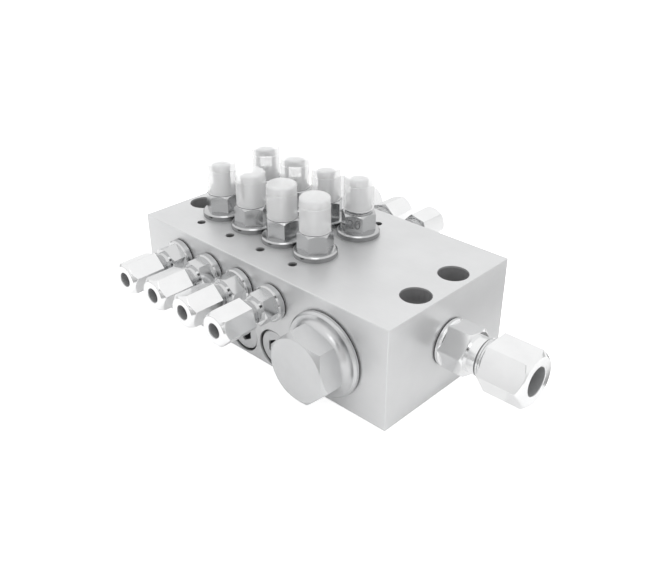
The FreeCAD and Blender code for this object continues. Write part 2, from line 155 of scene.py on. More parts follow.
class NodeTree:
    """Small helper round a material's node tree."""

    def __init__(self, name: str) -> None:
        """Start an empty material.

        Args:
            name: The material's name.
        """
        self.material = bpy.data.materials.new(name)
        self.material.use_nodes = True
        self.tree = self.material.node_tree
        self.tree.nodes.clear()
        self.output = self.add("ShaderNodeOutputMaterial")
        self.place = self.add("ShaderNodeTexCoord").outputs["Object"]

    def feed(self, value: Input, target: Socket) -> None:
        """Let an input follow an output, or give it a plain value.

        Args:
            value: The output or the value.
            target: The input.
        """
        if isinstance(value, Socket):
            self.tree.links.new(value, target)
        else:
            target.default_value = value

    def add(self, kind: str, *values: Input, **settings: object) -> Node:
        """Add a node, set its properties and feed its inputs.

        Args:
            kind: The node's type name.
            *values: What its first inputs get, in order.
            **settings: Properties, or inputs whose names start with a capital letter.

        Returns:
            The new node.
        """
        node = self.tree.nodes.new(kind)
        for key, value in settings.items():
            if key[0].isupper():
                self.feed(value, node.inputs[key.replace("_", " ")])
            else:
                setattr(node, key, value)
        for value, target in zip(values, node.inputs):
            self.feed(value, target)
        return node

    def compute(self, operation: str, *values: Input) -> Socket:
        """Arithmetic on numbers."""
        return self.add("ShaderNodeMath", *values, operation=operation).outputs[0]

    def compute_vector(self, operation: str, *values: Input) -> Socket:
        """Arithmetic on vectors."""
        return self.add("ShaderNodeVectorMath", *values, operation=operation).outputs[0]

    def parts(self, vector: Socket) -> list[Socket]:
        """X, Y and Z of a vector."""
        return self.add("ShaderNodeSeparateXYZ", vector).outputs[:]

    def noise(self, scale: float, grain: Grain = Grain.EVEN, detail: float = 3.0) -> Socket:
        """Noise from 0 to 1 on the piece's own place, in spots a metre, drawn out by the grain."""
        place = self.add("ShaderNodeMapping", self.place, Scale=grain.value).outputs[0]
        return self.add("ShaderNodeTexNoise", place, Scale=scale, Detail=detail,
                        Roughness=0.55).outputs["Fac"]

    def tones(self, value: Socket, low: Colour, high: Colour,
              start: float = 0.35, end: float = 0.65) -> Socket:
        """Two colours mixed by a value.

        Args:
            value: What mixes them.
            low: The colour up to the start.
            high: The colour from the end.
            start: Value at which the mix begins.
            end: Value at which it is complete.

        Returns:
            The mixed colour.
        """
        ramp = self.add("ShaderNodeValToRGB", value)
        for stop, position, colour in zip(ramp.color_ramp.elements, (start, end), (low, high)):
            stop.position = position
            stop.color = (*colour, 1)
        return ramp.outputs["Color"]

    def span(self, value: Socket, low: float, high: float,
             start: float = 0.3, end: float = 0.7) -> Socket:
        """Numbers from low to high, spread over a value's range from start to end."""
        return self.add("ShaderNodeMapRange", value, start, end, low, high).outputs[0]

    def uneven(self, value: Socket, middle: float, share: float) -> Socket:
        """A number that a noise varies by a share up and down."""
        return self.span(value, middle * (1 - share), middle * (1 + share))

    def bump(self, height: Socket, strength: float, depth: float) -> Socket:
        """A normal roughened by a height, to a depth in millimetres."""
        return self.add("ShaderNodeBump", Strength=strength, Distance=depth * METRES,
                        Height=height).outputs["Normal"]

    def finished(self, shader: Node) -> Material:
        """Put a shader on the surface and give back the material."""
        self.feed(shader.outputs[0], self.output.inputs["Surface"])
        return self.material

    def coated(self, **inputs: Input) -> Material:
        """Give the surface a principled shader with these inputs."""
        return self.finished(self.add("ShaderNodeBsdfPrincipled", **inputs))


def shaded(colour: Colour, share: float) -> Colour:
    """A colour made darker or lighter by a share."""
    return tuple(min(1.0, part * share) for part in colour)


@dataclass(frozen=True)
class PlatedMetal:
    """Plated or bare metal with a faint cloud in its colour and an even or uneven gloss."""

    name: str
    colour: Colour
    roughness: float
    metallic: float = 1.0
    cloud: float = 0.02
    spread: float = 0.15
    cloud_scale: float = 90.0
    gloss_scale: float = 420.0

    def material(self) -> Material:
        """Build the metal's nodes.

        Returns:
            The material.
        """
        nodes = NodeTree(self.name)
        cloud = nodes.tones(nodes.noise(self.cloud_scale), shaded(self.colour, 1 - self.cloud),
                            shaded(self.colour, 1 + self.cloud))
        rough = self.roughness
        if self.spread:
            rough = nodes.uneven(nodes.noise(self.gloss_scale), rough, self.spread)
        return nodes.coated(Base_Color=cloud, Metallic=self.metallic, Roughness=rough)


@dataclass(frozen=True)
class DrilledMetal:
    """Ground and plated metal: pale satin on its faces, with painted shade in whatever is cut into
    them.

    Lengths are in millimetres, from the block's middle or from its faces inwards.
    """

    name: str
    colour: Colour
    # The bore and drilling colours are painted shade: darker tones standing in for the shade inside
    # holes.
    bore_colour: Colour
    roughness: float
    half_size: Point
    drilling_colour: Colour | None = None
    drillings_end: float = 53.0
    bores_start: float = 57.0
    mask_start: float = 0.4
    mask_end: float = 1.2
    metallic: float = 0.75
    cloud_scale: float = 45.0
    cloud_low: float = 0.97
    cloud_high: float = 1.02
    ground_scale: float = 1500.0
    spread: float = 0.1
    bump_share: float = 0.05
    bump_depth: float = 0.01

    def material(self) -> Material:
        """Build the metal's nodes.

        Returns:
            The material.
        """
        nodes = NodeTree(self.name)
        cloud = nodes.tones(nodes.noise(self.cloud_scale, detail=4.0),
                            shaded(self.colour, self.cloud_low),
                            shaded(self.colour, self.cloud_high))
        # Surfaces deeper than the broken edges take the painted bore shade instead of the face
        # colour.
        mix = nodes.add("ShaderNodeMix", data_type="RGBA", Factor=self.inside(nodes), A=cloud,
                        B=self.inner_colour(nodes))
        ground = nodes.noise(self.ground_scale, Grain.ALONG_BLOCK, 2.0)
        return nodes.coated(Base_Color=mix.outputs["Result"], Metallic=self.metallic,
                            Roughness=nodes.uneven(ground, self.roughness, self.spread),
                            Normal=nodes.bump(ground, self.bump_share, self.bump_depth))

    def inner_colour(self, nodes: NodeTree) -> Input:
        """Painted shade in the bores, with its own darker tone for narrow drillings near the
        middle.

        Args:
            nodes: The material under way.

        Returns:
            The colour.
        """
        if not self.drilling_colour:
            return (*self.bore_colour, 1)
        away = nodes.compute("ABSOLUTE", nodes.parts(nodes.place)[0])
        return nodes.tones(away, self.drilling_colour, self.bore_colour,
                           self.drillings_end * METRES, self.bores_start * METRES)

    def inside(self, nodes: NodeTree) -> Socket:
        """Painted shade's mask: one on surfaces deeper than broken edges, zero on the outer faces.

        Args:
            nodes: The material under way.

        Returns:
            The mask's value.
        """
        middle = (0, 0, BLOCK.height / 2 * METRES)
        reach = [value * METRES for value in self.half_size]
        away = nodes.compute_vector("SUBTRACT", nodes.place, middle)
        away = nodes.compute_vector("ABSOLUTE", away)
        x, y, z = nodes.parts(nodes.compute_vector("SUBTRACT", reach, away))
        least = nodes.compute("MINIMUM", nodes.compute("MINIMUM", x, y), z)
        return nodes.span(least, 0.0, 1.0, self.mask_start * METRES, self.mask_end * METRES)


@dataclass(frozen=True)
class BlackRubber:
    """Black sealing rubber with a dull, faintly mottled surface."""

    name: str = "seal_rubber"
    colour: Colour = (0.03, 0.03, 0.032)
    roughness: tuple[float, float] = (0.45, 0.6)
    mottle_scale: float = 900.0
    mottle_share: float = 1.8
    bump_share: float = 0.2
    bump_depth: float = 0.02

    def material(self) -> Material:
        """Build the rubber's nodes.

        Returns:
            The material.
        """
        nodes = NodeTree(self.name)
        mottle = nodes.noise(self.mottle_scale)
        colour = nodes.tones(mottle, self.colour, shaded(self.colour, self.mottle_share))
        return nodes.coated(Specular_IOR_Level=0.35, Base_Color=colour,
                            Roughness=nodes.span(mottle, *self.roughness),
                            Normal=nodes.bump(mottle, self.bump_share, self.bump_depth))


@dataclass(frozen=True)
class MilkyPlastic:
    """Milky plastic that lets the stem show: a white haze with a soft gloss over it."""

    name: str = "milky_cap_plastic"
    colour: Colour = (0.97, 0.972, 0.975)
    haze: float = 0.5
    roughness: tuple[float, float] = (0.16, 0.24)
    cloud_low: float = 0.985
    cloud_scale: float = 140.0
    gloss_scale: float = 500.0

    def material(self) -> Material:
        """Build the plastic's nodes.

        Returns:
            The material.
        """
        nodes = NodeTree(self.name)
        cloud = nodes.tones(nodes.noise(self.cloud_scale), shaded(self.colour, self.cloud_low),
                            self.colour)
        rough = nodes.span(nodes.noise(self.gloss_scale), *self.roughness)
        return nodes.coated(IOR=1.46, Alpha=self.haze, Base_Color=cloud, Roughness=rough)


@dataclass
class Finishes:
    """Every finish on the object, built once and shared."""

    zinc: Material
    union: Material
    cartridge: Material
    flange_side: Material
    steel: Material
    spring: Material
    plug: Material
    sunk_plug: Material
    rubber: Material
    plastic: Material
    block: Material
    engraving: Material
    thread_root: Material
    tube_hole: Material
    plastic_inside: Material

    @classmethod
    def made(cls) -> Finishes:
        """Build all the materials.

        Returns:
            The finishes.
        """
        finishes = {
            "zinc": PlatedMetal("bright_zinc", (0.9, 0.903, 0.906), 0.19, spread=0.04),
            "union": PlatedMetal("union_zinc", (0.68, 0.684, 0.688), 0.14, spread=0.04),
            "cartridge": PlatedMetal("nickel_cartridge", (0.56, 0.564, 0.568), 0.2, spread=0.0),
            # Darker nickel for the flange's side wall: painted shade.
            "flange_side": PlatedMetal("flange_side_nickel", (0.3, 0.302, 0.305), 0.26, spread=0.0),
            "steel": PlatedMetal("turned_steel", (0.55, 0.55, 0.56), 0.3),
            "spring": PlatedMetal("spring_wire", (0.5, 0.5, 0.51), 0.25),
            "plug": PlatedMetal("plug_plating", (0.64, 0.645, 0.65), 0.34),
            # Sunk plug plating; the near-black bore tone is painted shade in the gap round each
            # head.
            "sunk_plug": DrilledMetal("sunk_plug_plating", (0.66, 0.665, 0.67), (0.1, 0.1, 0.105),
                                      0.4, (BLOCK.length / 2, 39.3, BLOCK.height / 2)),
            "rubber": BlackRubber(),
            "plastic": MilkyPlastic(),
            # Block plating; its bore and drilling tones are painted shade in the holes.
            "block": DrilledMetal("block_plating", (0.72, 0.724, 0.728), (0.47, 0.47, 0.475),
                                  0.42, (BLOCK.length / 2, BLOCK.depth / 2, BLOCK.height / 2),
                                  drilling_colour=(0.27, 0.27, 0.274)),
            "engraving": PlatedMetal("engraved_figures", (0.28, 0.28, 0.285), 0.5),
            # Dark zinc for thread roots: painted shade in the grooves.
            "thread_root": PlatedMetal("thread_root_zinc", (0.22, 0.22, 0.225), 0.4),
            # Darker, duller zinc for the nut bores: painted shade inside the holes.
            "tube_hole": PlatedMetal("tube_hole_zinc", (0.4, 0.405, 0.41), 0.45, 0.35),
            "plastic_inside": MilkyPlastic("milky_cap_inside", haze=0.05),
        }
        return cls(**{name: finish.material() for name, finish in finishes.items()})


# Shapes, drawn on Z in millimetres


def angles(step: float, count: int) -> list[float]:
    """Angles in radians, counted up from zero by a step in degrees."""
    return [radians(step * index) for index in range(count)]


def turned(outline: Outline, steps: int = ROUND_STEPS) -> Mesh:
    """Turn an outline about Z. One that leaves the axis is closed into a ring.

    Args:
        outline: Radius and height of each point, in order.
        steps: Facets round the axis.

    Returns:
        The turned shell.
    """
    mesh = bmesh.new()
    points = [mesh.verts.new((radius, 0, height)) for radius, height in outline]
    edges = [mesh.edges.new(pair) for pair in zip(points, points[1:])]
    if outline[0][0] > 0:
        edges.append(mesh.edges.new((points[-1], points[0])))
    bmesh.ops.spin(mesh, geom=points + edges, axis=UP, angle=2 * pi, steps=steps, use_merge=True)
    bmesh.ops.remove_doubles(mesh, verts=mesh.verts[:], dist=MERGE_DISTANCE)
    bmesh.ops.recalc_face_normals(mesh, faces=mesh.faces[:])
    return mesh


def softened(mesh: Mesh, width: float, segments: int = 2) -> Mesh:
    """Round the edges that turn by more than the bevel angle.

    Args:
        mesh: The shell.
        width: Width of the rounding.
        segments: Facets across the rounding.

    Returns:
        The same shell.
    """
    sharp = [edge for edge in mesh.edges
             if edge.is_manifold and edge.calc_face_angle(0) > radians(BEVEL_ANGLE)]
    bmesh.ops.bevel(mesh, geom=sharp, offset=width, affect="EDGES", segments=segments,
                    profile=0.5, material=-1, clamp_overlap=True)
    return mesh


def bisected(mesh: Mesh, point: Vector, normal: Vector, clear: bool = False) -> list:
    """Cut a shell along a plane, with or without what lies beyond, and return the cut."""
    whole = mesh.verts[:] + mesh.edges[:] + mesh.faces[:]
    return bmesh.ops.bisect_plane(mesh, geom=whole, dist=CUT_TOLERANCE, plane_co=point,
                                  plane_no=normal, clear_outer=clear)["geom_cut"]


def slice_off(mesh: Mesh, point: Vector, normal: Vector) -> None:
    """Cut away what lies beyond a plane, on its normal's side, and close the cut."""
    cut = bisected(mesh, point, normal, clear=True)
    bmesh.ops.edgeloop_fill(mesh, edges=[part for part in cut if isinstance(part, Edge)])


def milled(mesh: Mesh, across: float, turn: float) -> Mesh:
    """Mill a hexagon on a turned shell and close each cut.

    Args:
        mesh: The shell.
        across: Width across the flats.
        turn: Angle of a corner in degrees.

    Returns:
        The same shell.
    """
    half_step = 180 / HEXAGON_SIDES
    for index in range(HEXAGON_SIDES):
        angle = radians(turn + half_step + 2 * half_step * index)
        normal = Vector((cos(angle), sin(angle), 0))
        slice_off(mesh, normal * across / 2, normal)
    return mesh


def spanner_blank(across: float, low: float, high: float, face_radius: float, chamfer: float,
                  foot: float = 0.0, bore: Outline | None = None) -> Outline:
    """Outline of the turned blank of a hexagon whose corners run off in a cone.

    Args:
        across: Width across the flats.
        low: Lower end.
        high: Upper end, where the cone is.
        face_radius: Radius of the flat ring inside the cone.
        chamfer: Height by which the cone drops at a corner.
        foot: Height of the small chamfer at the lower end.
        bore: Points of the hole through it, from top to bottom.

    Returns:
        The outline.
    """
    corner = across / sqrt(3)
    rim = corner + BLANK_MARGIN
    drop = chamfer * (rim - face_radius) / (corner - face_radius)
    lower = [(rim, low)]
    if foot:
        lower = [(corner - 2 * foot, low), (rim, low + foot + BLANK_MARGIN / 2)]
    outer = lower + [(rim, high - drop), (face_radius, high)]
    return outer + bore if bore else [(0, low)] + outer + [(0, high)]


def swept(section: Outline, pitch: float, turns: float) -> Mesh:
    """Sweep a closed section round Z along a helix that starts at height zero.

    Args:
        section: Radius and height of each point of the section.
        pitch: Rise in one turn.
        turns: Length of the helix in turns.

    Returns:
        The closed coil.
    """
    mesh = bmesh.new()
    first = mesh.faces.new([mesh.verts.new((radius, 0, height)) for radius, height in section])
    count = max(1, int(turns * HELIX_STEPS))
    bmesh.ops.spin(mesh, geom=[first], axis=UP, dvec=(0, 0, pitch / HELIX_STEPS),
                   angle=2 * pi * count / HELIX_STEPS, steps=count)
    bmesh.ops.recalc_face_normals(mesh, faces=mesh.faces[:])
    return mesh


def thread(root: float, crest: float, pitch: float, low: float, high: float,
           root_share: float = 0.46, crest_share: float = 0.07) -> Mesh:
    """Helical ridge of a screw thread.

    Args:
        root: Radius at the foot of the ridge.
        crest: Radius at its top.
        pitch: Rise in one turn.
        low: Height at which it starts.
        high: Height at which it ends.
        root_share: Half the ridge's width at its foot, as a share of the pitch.
        crest_share: The same at its top.

    Returns:
        The closed ridge.
    """
    half, crown = pitch * root_share, pitch * crest_share
    section = [(root, -half), (crest, -crown), (crest, crown), (root, half)]
    mesh = swept(section, pitch, (high - low - 2 * half) / pitch)
    mesh.transform(Matrix.Translation((0, 0, low + half)))
    return mesh


def washer(inner: float, outer: float, thickness: float, rounding: float, segments: int,
           steps: int = ROUND_STEPS) -> Mesh:
    """Flat ring that stands on height zero, its edges rounded by some segments."""
    section = [(inner, 0), (outer, 0), (outer, thickness), (inner, thickness)]
    return softened(turned(section, steps), rounding, segments)


def mark_faces(mesh: Mesh, chosen: Callable[[Vector], bool]) -> None:
    """Give a piece's second finish to the faces whose centres are chosen."""
    for face in mesh.faces:
        face.material_index = int(chosen(face.calc_center_median()))


def joined(shells: list[Mesh]) -> Mesh:
    """Gather several closed shells into one mesh.

    Args:
        shells: The shells, which are used up.

    Returns:
        The one mesh.
    """
    whole = bmesh.new()
    for shell in shells:
        carrier = bpy.data.meshes.new("carrier")
        shell.to_mesh(carrier)
        whole.from_mesh(carrier)
        bpy.data.meshes.remove(carrier)
        shell.free()
    return whole


def set_on(mesh: Mesh, at: Vector, direction: Vector = UP) -> Mesh:
    """Point a shape drawn on Z along a direction and set it on a point.

    Args:
        mesh: The shape, in millimetres.
        at: The point, in metres.
        direction: Where its Z goes.

    Returns:
        The same mesh, now in metres.
    """
    turn = UP.rotation_difference(direction).to_matrix().to_4x4()
    mesh.transform(Matrix.Translation(at) @ turn @ Matrix.Scale(METRES, 4))
    return mesh


def set_out(name: str, mesh: Mesh, *finishes: Material) -> Object:
    """Put a mesh into the scene as an object.

    Args:
        name: The object's name.
        mesh: Its mesh in metres, which is used up.
        *finishes: Its materials, the second for the marked faces.

    Returns:
        The object.
    """
    data = bpy.data.meshes.new(name)
    mesh.to_mesh(data)
    mesh.free()
    for finish in finishes:
        data.materials.append(finish)
    made = bpy.data.objects.new(name, data)
    bpy.context.scene.collection.objects.link(made)
    return made


def piece(name: str, mesh: Mesh, body: str, nodes: list[str], slot: str,
          *finishes: Material) -> Object:
    """Shade a finished mesh, put it into the scene and tie it to the model.

    Args:
        name: The piece's name.
        mesh: Its mesh in metres, which is used up.
        body: The body that it rides on.
        nodes: The nodes that it stands for, if any.
        slot: The record's material slot; not used.
        *finishes: Its materials, the second for the marked faces.

    Returns:
        The object.
    """
    for face in mesh.faces:
        face.smooth = True
    for edge in mesh.edges:
        edge.smooth = edge.calc_face_angle(0) < radians(SHARP_ANGLE)
    made = set_out(name, mesh, *finishes)
    even = made.modifiers.new("even_shading", "WEIGHTED_NORMAL")
    even.keep_sharp = True
    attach(made, body)
    if nodes:
        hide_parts(*nodes)
    return made


def on_axis(node: str, height: float) -> Vector:
    """Point at a height in millimetres over the middle of a node's box at rest, in metres."""
    low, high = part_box(node)
    return Vector((*((low + high) / 2).xy, height * METRES))


# Sub-assemblies


@dataclass
class MeteringCartridge:
    """Cartridge body with flange, hexagon, collar and windowed stem, and the cap over it."""

    station: Station
    hex_turn: float
    window_turn: float
    collar_rise: float
    shank: Outline = field(default_factory=lambda: [
        (0, -25.5), (4.4, -25.5), (4.4, -21.0), (6.5, -21.0), (6.5, -17.0), (5.2, -17.0),
        (5.2, -8.0), (6.5, -8.0), (6.5, 0.0)])
    rounding: float = 0.09
    flange_radius: float = 9.8
    flange_wall: float = 2.1
    flange_bevel: float = 0.6
    flange_top: float = 3.1
    hex_across: float = 14.0
    hex_top: float = 11.3
    hex_face_radius: float = 6.95
    hex_chamfer: float = 1.0
    collar_radius: float = 6.2
    grooved_rise: float = 1.0
    groove_rim: float = 0.5
    groove_low: float = 0.7
    groove_high: float = 0.6
    seat_radius: float = 5.4
    seat_height: float = 2.4
    stem_radius: float = 4.75
    stem_flat: float = 4.1
    stem_height: float = 13.1
    stem_bevel: float = 0.7
    window_width: float = 6.0
    window_height: float = 8.2
    window_bar: float = 2.0
    cap_radius: float = 6.9
    cap_height: float = 15.6
    cap_top: float = 1.8
    cap_round: float = 1.3
    cap_ring_drop: float = 4.2
    cap_ring_step: float = 0.12
    cap_skirt: float = 3.0
    cap_relief: float = 0.25
    slide_gap: float = 0.08

    @property
    def place(self) -> Vector:
        """Point on the block's top that the cartridge is screwed into, in metres."""
        return on_axis("cartridge_body_" + self.station.name, BLOCK.height)

    @property
    def cap_foot(self) -> float:
        """Height of the cap's rim over the block's top."""
        return self.hex_top + self.collar_rise

    def build(self, finishes: Finishes) -> None:
        """Build and dress the cartridge and its cap.

        Args:
            finishes: The materials.
        """
        name = self.station.name
        shells = [softened(shell, self.rounding)
                  for shell in (self.foot(), self.hexagon(), self.collar(), self.stem())]
        piece("cartridge_" + name, set_on(joined(shells), self.place), BODY,
              ["cartridge_body_" + name], "cartridge_metal", finishes.cartridge,
              finishes.flange_side)
        piece("cap_" + name, set_on(self.cap(), self.place), "cap_" + name,
              ["clear_cap_" + name], "clear_plastic", finishes.plastic, finishes.plastic_inside)

    def foot(self) -> Mesh:
        """Shank in the block and the round flange on it.

        Returns:
            The shell, with the flange's side wall marked for a darker tone that is painted shade.
        """
        crown = self.flange_wall + self.flange_bevel
        mesh = turned(self.shank + [
            (self.flange_radius, 0), (self.flange_radius, self.flange_wall),
            (self.flange_radius - self.flange_bevel, crown),
            (self.hex_across / 2, self.flange_top), (0, self.flange_top)])
        # The flange's side wall gets the second finish, a darker tone that is painted shade.
        least = self.flange_radius - FACE_TOLERANCE
        mark_faces(mesh, lambda centre: centre.xy.length > least and centre.z < self.flange_wall)
        return mesh

    def hexagon(self) -> Mesh:
        """Spanner hexagon with its corners run off at the top."""
        blank = spanner_blank(self.hex_across, self.flange_wall, self.hex_top,
                              self.hex_face_radius, self.hex_chamfer)
        return milled(turned(blank), self.hex_across, self.hex_turn)

    def collar(self) -> Mesh:
        """Collar under the cap, grooved if it is long, and the seat that the cap grips.

        Returns:
            The shell.
        """
        low = self.hex_top - OVERLAP
        seat_top = self.cap_foot + self.seat_height
        wall = [(self.collar_radius, low)]
        if self.collar_rise > self.grooved_rise:
            wall += [(self.collar_radius, self.hex_top + self.groove_rim),
                     (self.seat_radius, self.hex_top + self.groove_low),
                     (self.seat_radius, self.cap_foot - self.groove_high),
                     (self.collar_radius, self.cap_foot - self.groove_rim)]
        return turned([(0, low)] + wall + [
            (self.collar_radius, self.cap_foot), (self.seat_radius, self.cap_foot),
            (self.seat_radius, seat_top), (0, seat_top)])

    def stem(self) -> Mesh:
        """Indicator stem with two flats and the window through it.

        Returns:
            The shell.
        """
        low = self.hex_top
        top = self.cap_foot + self.stem_height
        window_top = top - self.window_bar
        window_bottom = window_top - self.window_height
        mesh = turned([(0, low), (self.stem_radius, low), (self.stem_radius, top - self.stem_bevel),
                       (self.stem_radius - self.stem_bevel, top), (0, top)])
        for sign in (-1, 1):
            slice_off(mesh, Vector((sign * self.stem_flat, 0, 0)), Vector((sign, 0, 0)))
        half = self.window_width / 2
        for y in (half, -half):
            bisected(mesh, Vector((0, y, 0)), Vector((0, 1, 0)))
        for z in (window_top, window_bottom):
            bisected(mesh, Vector((0, 0, z)), UP)
        centres = {face: face.calc_center_median() for face in mesh.faces}
        panes = [face for face, centre in centres.items()
                 if abs(centre.y) < half and window_bottom < centre.z < window_top]
        bmesh.ops.delete(mesh, geom=panes, context="FACES")
        rims = [edge for edge in mesh.edges if edge.is_boundary]
        bmesh.ops.bridge_loops(mesh, edges=rims)
        bmesh.ops.recalc_face_normals(mesh, faces=mesh.faces[:])
        mesh.transform(Matrix.Rotation(radians(self.window_turn), 4, "Z"))
        return mesh

    def cap(self) -> Mesh:
        """Closed cap: snug skirt, straight wall, shallow ring and rounded crown.

        Returns:
            The shell, with its inner faces marked.
        """
        foot = self.cap_foot
        crown = foot + self.cap_height
        bore = self.seat_radius + self.slide_gap
        wide = bore + self.cap_relief
        skirt_top = foot + self.cap_skirt
        roof = crown - self.cap_top
        ring = crown - self.cap_ring_drop
        upper = self.cap_radius - self.cap_ring_step
        bend = self.cap_round
        arc = [(upper - bend + bend * cos(a), crown - bend + bend * sin(a)) for a in angles(15, 7)]
        mesh = turned([
            (0, roof), (wide - bend, roof), (wide, roof - bend),
            (wide, skirt_top + self.cap_relief), (bore, skirt_top), (bore, foot),
            (self.cap_radius, foot), (self.cap_radius, ring), (upper, ring + self.cap_ring_step)]
            + arc + [(0, crown)], FINE_STEPS)
        mark_faces(mesh, lambda centre: (centre.z < roof + FACE_TOLERANCE
                                         and centre.xy.length < wide + 2 * FACE_TOLERANCE))
        return mesh


@dataclass
class ReturnSpring:
    """Spring that presses a metering piston down and shortens as the piston rises."""

    station: Station
    coil_radius: float = 2.4
    wire_radius: float = 0.35
    low: float = 34.9
    high: float = 55.2
    turns: int = 5
    stroke: float = 6.0

    def build(self, finishes: Finishes) -> None:
        """Build the spring.

        Args:
            finishes: The materials.
        """
        name = self.station.name
        centre = on_axis("piston_spring_" + name, self.low)
        wire = [(self.coil_radius + self.wire_radius * cos(a), self.wire_radius * sin(a))
                for a in angles(45, 8)]
        coil = swept(wire, (self.high - self.low) / self.turns, self.turns)
        spring = piece("spring_" + name, set_on(coil, centre), BODY, ["piston_spring_" + name],
                       "spring_steel", finishes.spring)
        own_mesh(spring)


@dataclass(frozen=True)
class FittingSize:
    """Sizes of a tube fitting, from the face that it is screwed into."""

    port_radius: float
    port_length: float
    seal_radius: float
    seal_thickness: float
    collar_radius: float
    collar_length: float
    union_across: float
    union_length: float
    neck_radius: float
    neck_length: float
    thread_radius: float
    thread_length: float
    thread_pitch: float
    nut_across: float
    nut_start: float
    nut_length: float
    nut_chamfer: float
    nut_face_radius: float
    tube_radius: float
    passage_radius: float
    ring_wall: float

    @property
    def collar_end(self) -> float:
        """Outer end of the collar."""
        return self.seal_thickness + self.collar_length

    @property
    def hex_end(self) -> float:
        """Outer end of the union's hexagon."""
        return self.collar_end + self.union_length

    @property
    def union_end(self) -> float:
        """Outer end of the union's thread."""
        return self.hex_end + self.neck_length + self.thread_length


OUTLET = FittingSize(
    port_radius=6.55, port_length=8.6, seal_radius=8.1, seal_thickness=0.7, collar_radius=8.3,
    collar_length=2.9, union_across=13.0, union_length=6.6, neck_radius=5.35, neck_length=2.2,
    thread_radius=6.0, thread_length=10.4, thread_pitch=1.1, nut_across=14.0, nut_start=16.0,
    nut_length=16.0, nut_chamfer=1.8, nut_face_radius=6.3, tube_radius=3.1, passage_radius=2.0,
    ring_wall=1.45)
INLET = FittingSize(
    port_radius=8.3, port_length=12.0, seal_radius=10.4, seal_thickness=0.6, collar_radius=10.6,
    collar_length=1.9, union_across=19.0, union_length=10.9, neck_radius=8.2, neck_length=4.4,
    thread_radius=9.0, thread_length=13.6, thread_pitch=1.0, nut_across=22.0, nut_start=22.0,
    nut_length=19.5, nut_chamfer=2.2, nut_face_radius=10.4, tube_radius=6.1, passage_radius=5.0,
    ring_wall=1.75)


@dataclass
class TubeFitting:
    """Union with its sealing ring, and the nut on it."""

    size: FittingSize
    face_point: Vector
    direction: Vector
    union_turn: float
    nut_turn: float
    seat_gap: float = 0.1
    slide_gap: float = 0.08
    seal_gap: float = 0.3
    seal_rounding: float = 0.2
    union_bevel: float = 0.6
    union_rounding: float = 0.1
    union_chamfer_share: float = 0.7
    union_face_step: float = 0.1
    thread_share: float = 0.6
    socket_share: float = 0.9
    cone_step: float = 0.7
    cone_share: float = 2.5
    nut_bevel: float = 0.25
    nut_rounding: float = 0.16

    def union(self) -> Mesh:
        """Union: port thread, collar, hexagon, neck, nut thread and stepped bore.

        Returns:
            The mesh in place, with the root of its nut thread marked for painted shade.
        """
        size = self.size
        edge = self.union_bevel
        end = size.union_end
        thread_start = size.hex_end + size.neck_length
        root = size.thread_radius - self.thread_share * size.thread_pitch
        socket = end - size.thread_length * self.socket_share
        cone = end - self.cone_share * size.ring_wall
        core = turned([
            (size.passage_radius, -size.port_length), (size.port_radius - edge, -size.port_length),
            (size.port_radius, edge - size.port_length), (size.port_radius, size.seal_thickness),
            (size.collar_radius, size.seal_thickness), (size.collar_radius, size.collar_end - edge),
            (size.collar_radius - edge, size.collar_end), (size.neck_radius, size.collar_end),
            (size.neck_radius, thread_start), (root, thread_start), (root, end),
            (size.tube_radius + self.cone_step, end), (size.tube_radius, cone),
            (size.tube_radius, socket), (size.passage_radius, socket)])
        half = size.union_across / 2
        low = size.collar_end - edge
        inner = size.passage_radius + OVERLAP
        chamfer = (size.union_across / sqrt(3) - half) * self.union_chamfer_share
        blank = spanner_blank(size.union_across, low, size.hex_end, half - self.union_face_step,
                              chamfer, bore=[(inner, size.hex_end), (inner, low)])
        hexagon = milled(turned(blank), size.union_across, self.union_turn)
        shells = [softened(shell, self.union_rounding) for shell in (core, hexagon)]
        # The thread's root faces take the second finish, painted shade in the grooves.
        mark_faces(core, lambda centre: (centre.z > thread_start
                                         and abs(centre.xy.length - root) < FACE_TOLERANCE))
        ridge = thread(root - PLAY, size.thread_radius, size.thread_pitch, thread_start, end)
        return set_on(joined(shells + [ridge]), self.face_point, self.direction)

    def seal(self) -> Mesh:
        """Rounded sealing ring between the collar and the block."""
        ring = washer(self.size.port_radius + PLAY, self.size.seal_radius,
                      self.size.seal_thickness, self.seal_rounding, 4)
        return set_on(ring, self.face_point, self.direction)

    def nut(self) -> Mesh:
        """Union nut: hexagon with a coned outer end, thread bore, shoulder and tube hole.

        Returns:
            The mesh in place, with its bore marked for painted shade.
        """
        size = self.size
        start = size.nut_start
        end = start + size.nut_length
        edge = self.nut_bevel
        shoulder = size.union_end + self.seal_gap + size.ring_wall + self.seat_gap
        collar = size.tube_radius + size.ring_wall + self.seat_gap
        hole = size.tube_radius + self.seat_gap
        thread_bore = size.thread_radius + self.slide_gap
        bore = [(hole + edge, end), (hole, end - edge), (hole, shoulder + collar - hole),
                (collar, shoulder), (collar, shoulder - size.ring_wall),
                (thread_bore, shoulder - size.ring_wall), (thread_bore, start)]
        blank = spanner_blank(size.nut_across, start, end, size.nut_face_radius, size.nut_chamfer,
                              bore=bore)
        mesh = softened(milled(turned(blank), size.nut_across, self.nut_turn),
                        self.nut_rounding)
        # The bore faces take the second finish, painted shade inside the hole.
        mark_faces(mesh, lambda centre: (centre.z < end - 2 * FACE_TOLERANCE
                                         and centre.xy.length < thread_bore + FACE_TOLERANCE))
        return set_on(mesh, self.face_point, self.direction)


